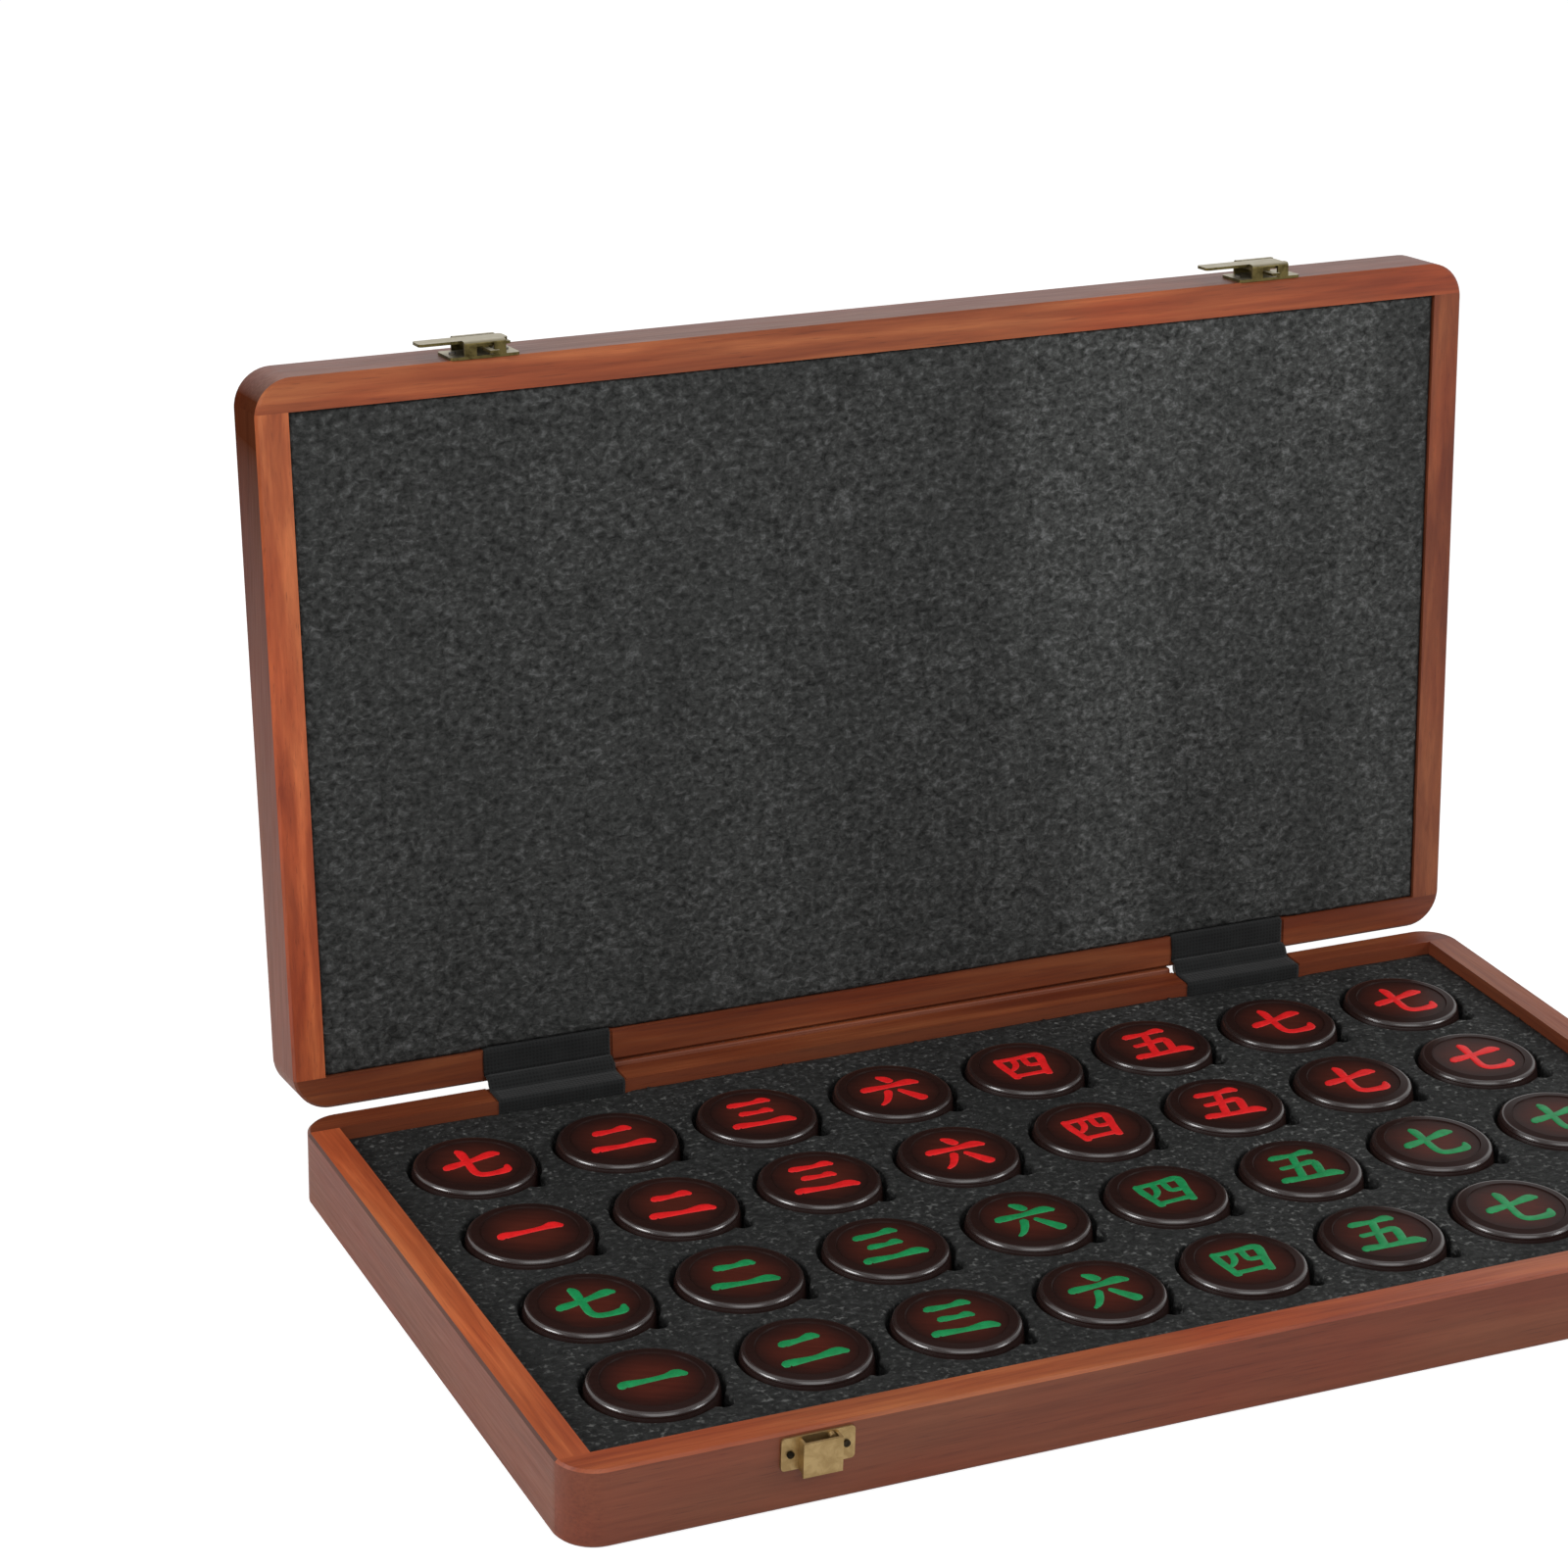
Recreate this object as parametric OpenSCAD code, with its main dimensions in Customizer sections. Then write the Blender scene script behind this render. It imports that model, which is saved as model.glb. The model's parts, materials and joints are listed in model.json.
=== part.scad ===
// Boxed xiangqi set: a hinged wooden case with thirty-two turned pieces in a cut foam tray.
// Millimetres. The case stands on its underside, the lid is open and +Y points to the hinges.

/* [Pieces] */
// Largest diameter of a piece, at the belly of its side
piece_diameter = 40; // [34:0.5:50]
// Thickness of a piece
piece_thickness = 15; // [11:0.5:20]
// How far the belly of the side swells past its ends
piece_belly = 0.9; // [0.4:0.1:1.5]
// Width of the rounded shoulder between side and rim ring
shoulder_width = 1.2; // [0.6:0.1:2]
// Height of the rounded shoulder
shoulder_height = 1.9; // [1.2:0.1:3]
// Width of the sloping ring round the face
ring_width = 2.7; // [1.5:0.1:4]
// Fall of the ring from its inner to its outer edge
ring_drop = 0.45; // [0.2:0.05:0.9]
// Depth of the sunk round field that carries the mark
field_depth = 0.35; // [0.15:0.05:0.8]
// Width of the sloping step from ring to field
field_step = 0.3; // [0.2:0.1:0.8]
// Width and height of the rounded foot edge
foot_round = 1.4; // [0.8:0.1:2.5]

/* [Foam] */
// Space between a piece and the wall of its pocket
pocket_clearance = 0.8; // [0.4:0.1:1.5]
// Foam left between neighbouring pockets
pocket_web = 6.2; // [4:0.1:12]
// Rail to pocket at the left and right ends
end_margin = 11.5; // [9:0.5:20]
// Rail to pocket at the front and rear
side_margin = 13.1; // [10:0.1:20]
// Diameter of the finger notch beside each pocket
notch_diameter = 8; // [5:0.5:10]
// Direction of the finger notch, in degrees from +X
notch_angle = -45; // [-60:5:-30]
// Thickness of the uncut foam bed under the pieces
bed_thickness = 3.4; // [2:0.1:8]
// Depth of the tray's top below the base rim
tray_recess = 4; // [3:0.1:6]
// Depth of the lid foam's face below the lid rim
lid_foam_recess = 0.9; // [0.5:0.1:3]
// Space between foam and rails
foam_gap = 0.3; // [0.1:0.05:0.6]

/* [Case] */
// Depth of a piece's face below the base rim
piece_sink = 2.1; // [1:0.1:4]
// Height of the lid from its rim to its outer face
lid_height = 22; // [18:0.5:30]
// Width of the wooden rails, which is the width of the rim
rail_width = 10.4; // [9.5:0.1:14]
// Radius of the upright outer corners
corner_radius = 12; // [6:0.5:20]
// Chamfer on the outer edges of the rails
edge_break = 0.8; // [0.3:0.1:1.5]
// Thickness of the bottom and top panels
panel_thickness = 4; // [3:0.1:6]
// How far the panels lap into the rails
panel_lap = 5; // [3:0.5:7]
// Space between the rims of the closed case
rim_gap = 0.3; // [0.2:0.05:0.6]
// Angle of the open lid, at its stop
lid_open = 95.7; // [60:0.1:100]

/* [Hinges] */
// Distance from the case's end to the middle of a hinge
hinge_inset = 85; // [60:1:110]
// Distance of the hinge axis behind the rear faces
hinge_setback = 1.1; // [0.8:0.1:1.8]
// Length of a hinge along its pin
leaf_length = 40; // [32:1:56]
// Width of a leaf on the rim
leaf_width = 8.4; // [7:0.1:9]
// Thickness of a leaf
leaf_thickness = 1.2; // [0.8:0.1:1.6]
// Diameter of the hinge knuckles
knuckle_diameter = 4.6; // [4.2:0.1:6]
// Diameter of the hinge pin
hinge_pin_diameter = 2.2; // [1.6:0.1:2.6]
// Share of the hinge's length that the lid's knuckle takes
lid_knuckle_share = 0.36; // [0.25:0.01:0.5]
// Width of the cloth strip over a hinge
cover_width = 44.4; // [42:0.1:60]
// Thickness of the cloth strip
cover_thickness = 0.5; // [0.3:0.05:0.8]
// How far the strip is tucked down between rail and foam
cover_tuck = 11; // [6:0.5:13]

/* [Clasps] */
// Distance from the case's end to the middle of a clasp
clasp_inset = 73.5; // [50:0.5:100]
// Width of the clasp plates over their ears
clasp_plate_width = 22.4; // [21:0.1:30]
// Height of the base's clasp plates
clasp_plate_height = 10.2; // [9:0.1:11]
// Thickness of the clasp's sheet brass
clasp_sheet = 0.9; // [0.6:0.1:1.2]
// Distance of the base's clasp plates below the rim
keeper_drop = 1.5; // [1:0.1:2]
// Width of the raised catch
catch_width = 12; // [11.4:0.1:13]
// Height of the raised catch
catch_height = 10.7; // [9.5:0.1:13]
// Height of the catch's face above the case's front
catch_standoff = 4.5; // [4:0.1:6]
// Distance of the catch's upper edge below the base rim
catch_drop = 2.2; // [1.6:0.1:3]
// Length of the lid's clasp housing along the case
housing_width = 13.4; // [12:0.1:15]
// Depth of the housing from the rim side to its back
housing_depth = 12.6; // [10:0.1:15]
// Height of the housing's face above the lid's front
housing_standoff = 5.4; // [5:0.1:7]
// Width of the slide's plate between the housing's lips
slide_width = 6.8; // [4:0.1:7.2]
// Length of the thumb tab that stands out of the housing
tab_length = 15.6; // [6:0.2:18]
// Travel of the slide
slide_travel = 3.4; // [2.8:0.1:3.6]
// How far the left slide stands pushed in
left_slide_rest = 2.2; // [0:0.1:2.4]
// Width of the slide's hook
hook_width = 1.8; // [1.2:0.1:2]
// Diameter of the stud that the hook slides under
stud_diameter = 1.8; // [1.2:0.1:2]

/* [Stop] */
// Thickness of the lath that stops the open lid
stop_thickness = 3; // [2:0.1:5]
// Height of the lath below the hinge axis
stop_depth = 10; // [6:0.5:18]
// Distance of the lath's ends from the cloth strips
stop_margin = 0.6; // [0.3:0.1:20]

/* [Hidden] */
$fn = 64;
// Overrun of every cut past the face it opens
overrun = 1;
// Play between a pin and its knuckles
pin_play = 0.04;
// Space between knuckles that turn past each other
knuckle_gap = 0.3;
// Space round sunk hinge parts in the wood
mortise_play = 0.25;
// Depth of the cloth below the rim
cover_sink = 0.1;
// Space between a piece and the foam bed under it
seat_gap = 0.05;
// Space between the clasp's halves that pass each other, and between lid housing and rim
clasp_clearance = 0.35;
// Space of the slide in its housing, on each side and under the lips
slide_gap = 0.2;
slide_play = 0.1;
// Corner radius of the sheet brass outlines
sheet_corner = 1.2;
// Space between the open lid and its stop
stop_gap = 0.3;
// Number of steps in a rounded stretch of a turned profile
arc_steps = 6;

// Screws of the hinges and nails of the clasps
hinge_screw_diameter = 2;
hinge_screw_head_diameter = 4;
hinge_screw_length = 9;
hinge_screw_share = 0.36;
nail_diameter = 1.4;
nail_head_diameter = 2.2;
nail_head_height = 0.6;
nail_length = 7;
nail_edge = 2.7;

// The case is sized round the field of pockets
pocket_radius = piece_diameter/2 + pocket_clearance;
pitch = 2*pocket_radius + pocket_web;
rank_rows = [
    ["soldier_1", "advisor_1", "elephant_1", "cannon_1", "chariot_1", "horse_1", "soldier_2", "soldier_3"],
    ["general", "advisor_2", "elephant_2", "cannon_2", "chariot_2", "horse_2", "soldier_4", "soldier_5"]
];
sides = ["red", "green"];
columns = len(rank_rows[0]);
rows = len(sides)*len(rank_rows);
inner_length = (columns - 1)*pitch + 2*pocket_radius + 2*end_margin;
inner_depth = (rows - 1)*pitch + 2*pocket_radius + 2*side_margin;
case_length = inner_length + 2*rail_width;
case_depth = inner_depth + 2*rail_width;
bed_top = panel_thickness + bed_thickness;
piece_floor = bed_top + seat_gap;
base_height = piece_floor + piece_thickness + piece_sink;
tray_top = base_height - tray_recess;
lid_rim = base_height + rim_gap;
lid_top = lid_rim + lid_height;

// Hinge axis and the layers sunk in the rims, measured from the axis
hinge_x = case_length/2 - hinge_inset;
hinge_y = case_depth/2 + hinge_setback;
hinge_z = base_height + rim_gap/2;
knuckle_radius = knuckle_diameter/2;
cover_top = -rim_gap/2 - cover_sink;
cover_bottom = cover_top - cover_thickness;
leaf_bottom = cover_bottom - leaf_thickness;
lid_knuckle = leaf_length*lid_knuckle_share;
rail_front_y = -hinge_setback - rail_width;
leaf_front_y = -hinge_setback - leaf_width;
screw_y = -hinge_setback - leaf_width/2;
screw_spacing = leaf_length*hinge_screw_share;

// Clasp places, measured from the case's front face and from the rims
clasp_x = case_length/2 - clasp_inset;
keeper_z = base_height - keeper_drop - clasp_plate_height/2;
catch_top = base_height - catch_drop;
hasp_z = lid_rim + clasp_clearance + housing_depth/2;
nail_x = clasp_plate_width/2 - nail_edge;

// The slide: a wide flange under the lips, a plate between them and a hook in a window
lip_under = housing_standoff - clasp_sheet;
flange_top = lip_under - slide_play;
flange_depth = housing_depth - 2*clasp_sheet - 2*slide_gap;
hook_left = -(hook_width + slide_travel)/2;
hook_out = (catch_standoff + clasp_sheet)/2;
window_width = hook_width + slide_travel + 2*slide_gap;
stud_x = (hook_width + slide_travel)/2 + slide_gap + stud_diameter/2;
stud_z = base_height - keeper_drop - stud_diameter/2 - slide_gap;
foot_right = stud_x - stud_diameter/2 - slide_gap - left_slide_rest;
foot_top = stud_z - stud_diameter/2 - clasp_clearance;
hook_root = lid_rim + clasp_clearance + clasp_sheet + slide_gap;

// The stop lath reaches into the round that the open lid's edge leaves free about the hinge axis
stop_radius = hinge_setback - stop_gap;
stop_length = 2*(hinge_x - cover_width/2 - stop_margin);

function piece_name(side, row, column) = str(sides[side], "_", rank_rows[row][column]);
function piece_x(column) = (column - (columns - 1)/2)*pitch;
function piece_y(row) = ((rows - 1)/2 - row)*pitch;

// Colours of the materials
wood_rail = [0.52, 0.28, 0.17];
wood_panel = [0.44, 0.24, 0.16];
wood_piece = [0.13, 0.08, 0.07];
foam_grey = [0.22, 0.23, 0.23];
cloth_black = [0.05, 0.05, 0.06];
antique_brass = [0.50, 0.43, 0.27];
dark_brass = [0.28, 0.24, 0.14];
steel_grey = [0.45, 0.44, 0.42];

// Places the lid's parts, which are drawn closed, at the open angle
module in_lid() {
    translate([0, hinge_y, hinge_z])
        rotate([-lid_open, 0, 0])
            translate([0, -hinge_y, -hinge_z])
                children();
}

// Draws a part at both hinges, with the hinge axis as origin
module at_hinges() {
    for (side = [-1, 1])
        translate([side*hinge_x, hinge_y, hinge_z]) children();
}

// Turns a part of the base's half of a hinge into the lid's half
module lid_half() {
    mirror([0, 0, 1]) children();
}

// Draws a part at one clasp, with the front face as origin and y pointing inwards
module at_clasp(side) {
    translate([side*clasp_x, -case_depth/2, 0]) children();
}

// A cylinder along x, centred on the origin
module rod(radius, length) {
    rotate([0, 90, 0]) cylinder(r = radius, h = length, center = true);
}

// A rectangle with round corners, centred on the origin
module rounded_plan(length, width, radius) {
    square([length - 2*radius, width], center = true);
    square([length, width - 2*radius], center = true);
    for (x = [-1, 1], y = [-1, 1])
        translate([x*(length/2 - radius), y*(width/2 - radius)]) circle(r = radius);
}

// Plan of the whole frame of rails
module frame_plan() {
    difference() {
        rounded_plan(case_length, case_depth, corner_radius);
        square([inner_length, inner_depth], center = true);
    }
}

// Plan of a front or rear rail, which runs the full length
module long_rail_plan(side) {
    intersection() {
        frame_plan();
        translate([0, side*(case_depth - rail_width)/2]) square([case_length, rail_width], center = true);
    }
}

// Plan of a left or right rail, which butts between the long rails
module short_rail_plan(side) {
    intersection() {
        frame_plan();
        translate([side*(case_length - rail_width)/2, 0]) square([rail_width, inner_depth], center = true);
    }
}

// Section of the chamfer cut, for an edge at this distance out and a height of zero
module chamfer_section(out) {
    polygon([[out - edge_break - overrun, overrun], [out + overrun, overrun],
             [out + overrun, -edge_break - overrun]]);
}

// Chamfer cut round the upper outer edge of the frame, whose top is at a height of zero
module chamfer_cut() {
    for (turn = [0, 180]) {
        rotate([0, 0, turn]) {
            rotate([90, 0, 90])
                linear_extrude(case_length, center = true) chamfer_section(case_depth/2);
            rotate([90, 0, 0])
                linear_extrude(case_depth, center = true) chamfer_section(case_length/2);
            for (y = [-1, 1])
                translate([case_length/2 - corner_radius, y*(case_depth/2 - corner_radius), 0])
                    rotate([0, 0, y < 0 ? -90 : 0])
                        rotate_extrude(angle = 90) chamfer_section(corner_radius);
        }
    }
}

// One rail of given plan and height, with broken edges and the rebate for its panel at the bottom
module rail_blank(height) {
    difference() {
        linear_extrude(height) children();
        translate([0, 0, height]) chamfer_cut();
        mirror([0, 0, 1]) chamfer_cut();
        translate([0, 0, -overrun]) linear_extrude(panel_thickness + overrun) panel_plan();
    }
}

// Plan of the bottom and top panels
module panel_plan() {
    square([inner_length + 2*panel_lap, inner_depth + 2*panel_lap], center = true);
}

// A lid rail is a base rail of the lid's height, turned over
module lid_blank() {
    translate([0, 0, lid_top]) mirror([0, 0, 1]) rail_blank(lid_height) children();
}

// One countersunk hinge screw, its head flush at a height of zero
module hinge_screw() {
    translate([0, 0, -leaf_thickness])
        cylinder(d1 = hinge_screw_diameter, d2 = hinge_screw_head_diameter, h = leaf_thickness);
    translate([0, 0, -hinge_screw_length])
        cylinder(d = hinge_screw_diameter, h = hinge_screw_length - leaf_thickness);
}

// The screws of one leaf, in the hinge's frame
module leaf_screws() {
    for (i = [-1 : 1])
        translate([i*screw_spacing, screw_y, cover_bottom]) hinge_screw();
}

// Room for one half of a hinge and its cloth in a rear rail
module hinge_mortise() {
    cover_room = cover_width + 2*mortise_play;
    leaf_room = leaf_length + 2*mortise_play;
    translate([-cover_room/2, rail_front_y - overrun, cover_bottom])
        cube([cover_room, rail_width + 2*overrun, -cover_bottom + overrun]);
    translate([-leaf_room/2, leaf_front_y - mortise_play, leaf_bottom])
        cube([leaf_room, leaf_width + mortise_play + overrun, -leaf_bottom]);
    rod(knuckle_radius + knuckle_gap, leaf_room);
    leaf_screws();
}

// The knuckles of the base's leaf, or with a gap the room for them
module outer_knuckles(gap = 0) {
    length = (leaf_length - lid_knuckle)/2 - knuckle_gap/2;
    for (side = [-1, 1])
        translate([side*(leaf_length - length)/2, 0, 0]) rod(knuckle_radius + gap, length + 2*gap);
}

// The knuckle of the lid's leaf, or with a gap the room for it
module middle_knuckle(gap = 0) {
    rod(knuckle_radius + gap, lid_knuckle - knuckle_gap + 2*gap);
}

// The flat of a leaf, from its front edge to the hinge axis
module leaf_flat() {
    translate([-leaf_length/2, leaf_front_y, leaf_bottom])
        cube([leaf_length, -leaf_front_y, leaf_thickness]);
}

// The base's leaf with the two outer knuckles
module base_leaf() {
    difference() {
        union() {
            difference() {
                leaf_flat();
                middle_knuckle(knuckle_gap);
            }
            outer_knuckles();
        }
        rod(hinge_pin_diameter/2 + pin_play, leaf_length + overrun);
        leaf_screws();
    }
}

// The lid's leaf with the middle knuckle, drawn on the base's side
module lid_leaf() {
    difference() {
        union() {
            difference() {
                leaf_flat();
                outer_knuckles(knuckle_gap);
            }
            middle_knuckle();
        }
        rod(hinge_pin_diameter/2 + pin_play, leaf_length + overrun);
        leaf_screws();
    }
}

// Half of a cloth strip: over the rim and down behind the foam
module cover_half() {
    rear_y = -hinge_setback;
    front_y = rail_front_y - cover_thickness;
    groove = knuckle_radius + knuckle_gap;
    difference() {
        union() {
            translate([-cover_width/2, front_y, cover_bottom])
                cube([cover_width, rear_y - front_y, cover_thickness]);
            translate([-cover_width/2, front_y, cover_top - cover_tuck])
                cube([cover_width, cover_thickness, cover_tuck]);
        }
        rod(groove, cover_width + overrun);
    }
}

// Room for the tucked cloth in a foam's rear edge
module tuck_relief() {
    room = cover_width + 2*mortise_play;
    depth = cover_thickness + mortise_play;
    translate([-room/2, rail_front_y - depth, cover_top - cover_tuck - mortise_play])
        cube([room, depth + overrun, cover_tuck + 2*tray_recess]);
}

// One nail with its head on a face at y = 0, driven in along +y
module nail() {
    rotate([-90, 0, 0]) {
        cylinder(d = nail_diameter, h = nail_length);
        translate([0, 0, -nail_head_height]) cylinder(d = nail_head_diameter, h = nail_head_height);
    }
}

// The two nails of a clasp plate whose middle is at height z, over its sheet
module plate_nails(z) {
    for (side = [-1, 1])
        translate([side*nail_x, -clasp_sheet, z]) nail();
}

// A clasp plate of given height with round corners on the face y = 0, its middle at height z
module clasp_plate(height, z) {
    translate([0, 0, z])
        rotate([90, 0, 0])
            linear_extrude(clasp_sheet)
                rounded_plan(clasp_plate_width, height, sheet_corner);
}

// A block of sheet between two distances out from the face y = 0
module sheet_block(left, right, low, high, inner, outer) {
    translate([left, -outer, low]) cube([right - left, outer - inner, high - low]);
}

// The base's half of a clasp: a nailed plate, an open-topped box and the stud for the hook inside it
module keeper(side) {
    wall_bottom = max(catch_top - catch_height, keeper_z - clasp_plate_height/2);
    wall_x = (catch_width - clasp_sheet)/2;
    color(antique_brass)
        at_clasp(side)
            difference() {
                union() {
                    clasp_plate(clasp_plate_height, keeper_z);
                    sheet_block(-catch_width/2, catch_width/2, catch_top - catch_height, catch_top,
                                catch_standoff - clasp_sheet, catch_standoff);
                    for (end = [-1, 1])
                        sheet_block(end*wall_x - clasp_sheet/2, end*wall_x + clasp_sheet/2,
                                    wall_bottom, catch_top, 0, catch_standoff);
                    translate([stud_x, 0, stud_z])
                        rotate([90, 0, 0]) cylinder(d = stud_diameter, h = catch_standoff - 2*clasp_sheet);
                }
                plate_nails(keeper_z);
            }
}

// Section of the lid's housing: a flat roll of sheet with a slot along its face
module housing_section() {
    difference() {
        translate([0, housing_standoff/2]) rounded_plan(housing_depth, housing_standoff, sheet_corner);
        translate([0, housing_standoff/2])
            square([housing_depth - 2*clasp_sheet, housing_standoff - 2*clasp_sheet], center = true);
        translate([0, housing_standoff])
            square([slide_width + 2*slide_gap, 2*clasp_sheet + slide_play], center = true);
    }
}

// The lid's half of a clasp, drawn closed: a nailed plate and an open-ended housing with a window at the rim
module hasp_housing(side) {
    at_clasp(side)
        difference() {
            union() {
                clasp_plate(housing_depth, hasp_z);
                translate([0, 0, hasp_z])
                    rotate([90, 0, 0])
                        rotate([90, 0, 90])
                            linear_extrude(housing_width, center = true) housing_section();
            }
            sheet_block(-window_width/2, window_width/2, lid_rim, hook_root, clasp_sheet, lip_under);
            plate_nails(hasp_z);
        }
}

// A slide in its housing, drawn closed and with the hook at the left end of its window
module slide_blank() {
    flange_end = housing_width/2 - 2*slide_gap;
    plate_left = -housing_width/2 - tab_length;
    inner = hook_out - clasp_sheet/2;
    outer = hook_out + clasp_sheet/2;
    hook_right = hook_left + hook_width;
    translate([(plate_left + flange_end)/2, -flange_top, hasp_z])
        rotate([90, 0, 0])
            linear_extrude(clasp_sheet) rounded_plan(flange_end - plate_left, slide_width, sheet_corner);
    sheet_block(-flange_end, flange_end, hasp_z - flange_depth/2, hasp_z + flange_depth/2,
                flange_top - clasp_sheet, flange_top);
    sheet_block(hook_left, hook_right, hook_root, hook_root + clasp_sheet, inner, flange_top);
    sheet_block(hook_left, hook_right, foot_top - clasp_sheet, hook_root + clasp_sheet, inner, outer);
    sheet_block(hook_left, foot_right, foot_top - clasp_sheet, foot_top, inner, outer);
}

// A slide on the open lid, pushed in by a given way
module hasp_slide(side, pushed) {
    color(dark_brass)
        in_lid() at_clasp(side) translate([pushed, 0, 0]) slide_blank();
}

// Points of a quarter ellipse from its top to its outer end
function quarter(x, z, width, height) =
    [for (i = [0 : arc_steps]) [x + width*sin(90*i/arc_steps), z + height*cos(90*i/arc_steps)]];

// Points of the swelling side, from the shoulder down to the foot
function belly(radius, upper, lower) =
    [for (i = [1 : 2*arc_steps - 1])
        let (u = 1 - i/arc_steps)
        [radius + piece_belly*(1 - u*u), (upper + lower)/2 + u*(upper - lower)/2]];

// Turned section of a piece, from the middle of its face to the middle of its foot
module piece_section() {
    side_radius = piece_diameter/2 - piece_belly;
    ring_outer = side_radius - shoulder_width;
    ring_inner = ring_outer - ring_width;
    top = piece_thickness;
    foot = [for (p = quarter(side_radius - foot_round, 0, foot_round, foot_round)) [p[0], foot_round - p[1]]];
    polygon(concat(
        [[0, top - field_depth], [ring_inner - field_step, top - field_depth], [ring_inner, top]],
        quarter(ring_outer, top - shoulder_height, shoulder_width, shoulder_height - ring_drop),
        belly(side_radius, top - shoulder_height, foot_round),
        [for (i = [arc_steps : -1 : 0]) foot[i]],
        [[0, 0]]));
}

// One turned piece in its pocket
module game_piece(side, row, column) {
    color(wood_piece)
        translate([piece_x(column), piece_y(len(rank_rows)*side + row), piece_floor])
            rotate_extrude() piece_section();
}

// Plan of the foam that fills a half of the case
module foam_plan() {
    square([inner_length - 2*foam_gap, inner_depth - 2*foam_gap], center = true);
}

// Plan of one pocket with its finger notch
module pocket_plan() {
    circle(r = pocket_radius);
    rotate([0, 0, notch_angle]) translate([pocket_radius, 0]) circle(d = notch_diameter);
}

module base_front_rail() {
    color(wood_rail)
        difference() {
            rail_blank(base_height) long_rail_plan(-1);
            for (side = [-1, 1])
                at_clasp(side) plate_nails(keeper_z);
        }
}

module base_rear_rail() {
    color(wood_rail)
        difference() {
            rail_blank(base_height) long_rail_plan(1);
            at_hinges() hinge_mortise();
        }
}

module base_left_rail() {
    color(wood_rail) rail_blank(base_height) short_rail_plan(-1);
}

module base_right_rail() {
    color(wood_rail) rail_blank(base_height) short_rail_plan(1);
}

module base_bottom_panel() {
    color(wood_panel) linear_extrude(panel_thickness) panel_plan();
}

// Section of the stop lath from the hinge axis: its top lies along the open lid's rear face
module stop_section() {
    rear = stop_thickness - hinge_setback;
    round_edge = [for (i = [0 : arc_steps])
        let (turn = 180 - lid_open*i/arc_steps)
        [stop_radius*cos(turn), stop_radius*sin(turn)]];
    polygon(concat(
        [[-hinge_setback, -stop_depth], [-hinge_setback, -rim_gap/2 - edge_break]],
        round_edge,
        [[rear, (stop_radius + rear*cos(lid_open))/sin(lid_open)], [rear, -stop_depth]]));
}

module base_stop_lath() {
    color(wood_rail)
        translate([0, hinge_y, hinge_z])
            rotate([90, 0, 90])
                linear_extrude(stop_length, center = true) stop_section();
}

module base_foam_bed() {
    color(foam_grey) translate([0, 0, panel_thickness]) linear_extrude(bed_thickness) foam_plan();
}

module base_foam_tray() {
    color(foam_grey)
        difference() {
            translate([0, 0, bed_top])
                linear_extrude(tray_top - bed_top)
                    difference() {
                        foam_plan();
                        for (row = [0 : rows - 1], column = [0 : columns - 1])
                            translate([piece_x(column), piece_y(row)]) pocket_plan();
                    }
            at_hinges() tuck_relief();
        }
}

module lid_front_rail() {
    color(wood_rail)
        in_lid()
            difference() {
                lid_blank() long_rail_plan(-1);
                for (side = [-1, 1])
                    at_clasp(side) plate_nails(hasp_z);
            }
}

module lid_rear_rail() {
    color(wood_rail)
        in_lid()
            difference() {
                lid_blank() long_rail_plan(1);
                at_hinges() lid_half() hinge_mortise();
            }
}

module lid_left_rail() {
    color(wood_rail) in_lid() lid_blank() short_rail_plan(-1);
}

module lid_right_rail() {
    color(wood_rail) in_lid() lid_blank() short_rail_plan(1);
}

module lid_top_panel() {
    color(wood_panel)
        in_lid() translate([0, 0, lid_top - panel_thickness]) linear_extrude(panel_thickness) panel_plan();
}

module lid_foam() {
    thickness = lid_height - panel_thickness - lid_foam_recess;
    color(foam_grey)
        in_lid()
            difference() {
                translate([0, 0, lid_rim + lid_foam_recess]) linear_extrude(thickness) foam_plan();
                at_hinges() lid_half() tuck_relief();
            }
}

module hinge_base_leaves() {
    color(steel_grey) at_hinges() base_leaf();
}

module hinge_lid_leaves() {
    color(steel_grey) in_lid() at_hinges() lid_half() lid_leaf();
}

module hinge_pins() {
    color(steel_grey) at_hinges() rod(hinge_pin_diameter/2, leaf_length);
}

module hinge_covers_base() {
    color(cloth_black) at_hinges() cover_half();
}

module hinge_covers_lid() {
    color(cloth_black) in_lid() at_hinges() lid_half() cover_half();
}

module hasp_housings() {
    color(dark_brass)
        in_lid()
            for (side = [-1, 1])
                hasp_housing(side);
}

module base_fasteners() {
    color(steel_grey) {
        at_hinges() leaf_screws();
        for (side = [-1, 1])
            at_clasp(side) plate_nails(keeper_z);
    }
}

module lid_fasteners() {
    color(steel_grey)
        in_lid() {
            at_hinges() lid_half() leaf_screws();
            for (side = [-1, 1])
                at_clasp(side) plate_nails(hasp_z);
        }
}

base_front_rail();
base_rear_rail();
base_left_rail();
base_right_rail();
base_bottom_panel();
base_stop_lath();
base_foam_bed();
base_foam_tray();
lid_front_rail();
lid_rear_rail();
lid_left_rail();
lid_right_rail();
lid_top_panel();
lid_foam();
hinge_base_leaves();
hinge_lid_leaves();
hinge_pins();
hinge_covers_base();
hinge_covers_lid();
hasp_housings();
hasp_slide(-1, left_slide_rest);  // hasp_slide_left
hasp_slide(1, 0);  // hasp_slide_right
keeper(-1);  // keeper_left
keeper(1);  // keeper_right
base_fasteners();
lid_fasteners();
for (side = [0 : len(sides) - 1], row = [0 : len(rank_rows) - 1], column = [0 : columns - 1])
    game_piece(side, row, column);
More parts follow.
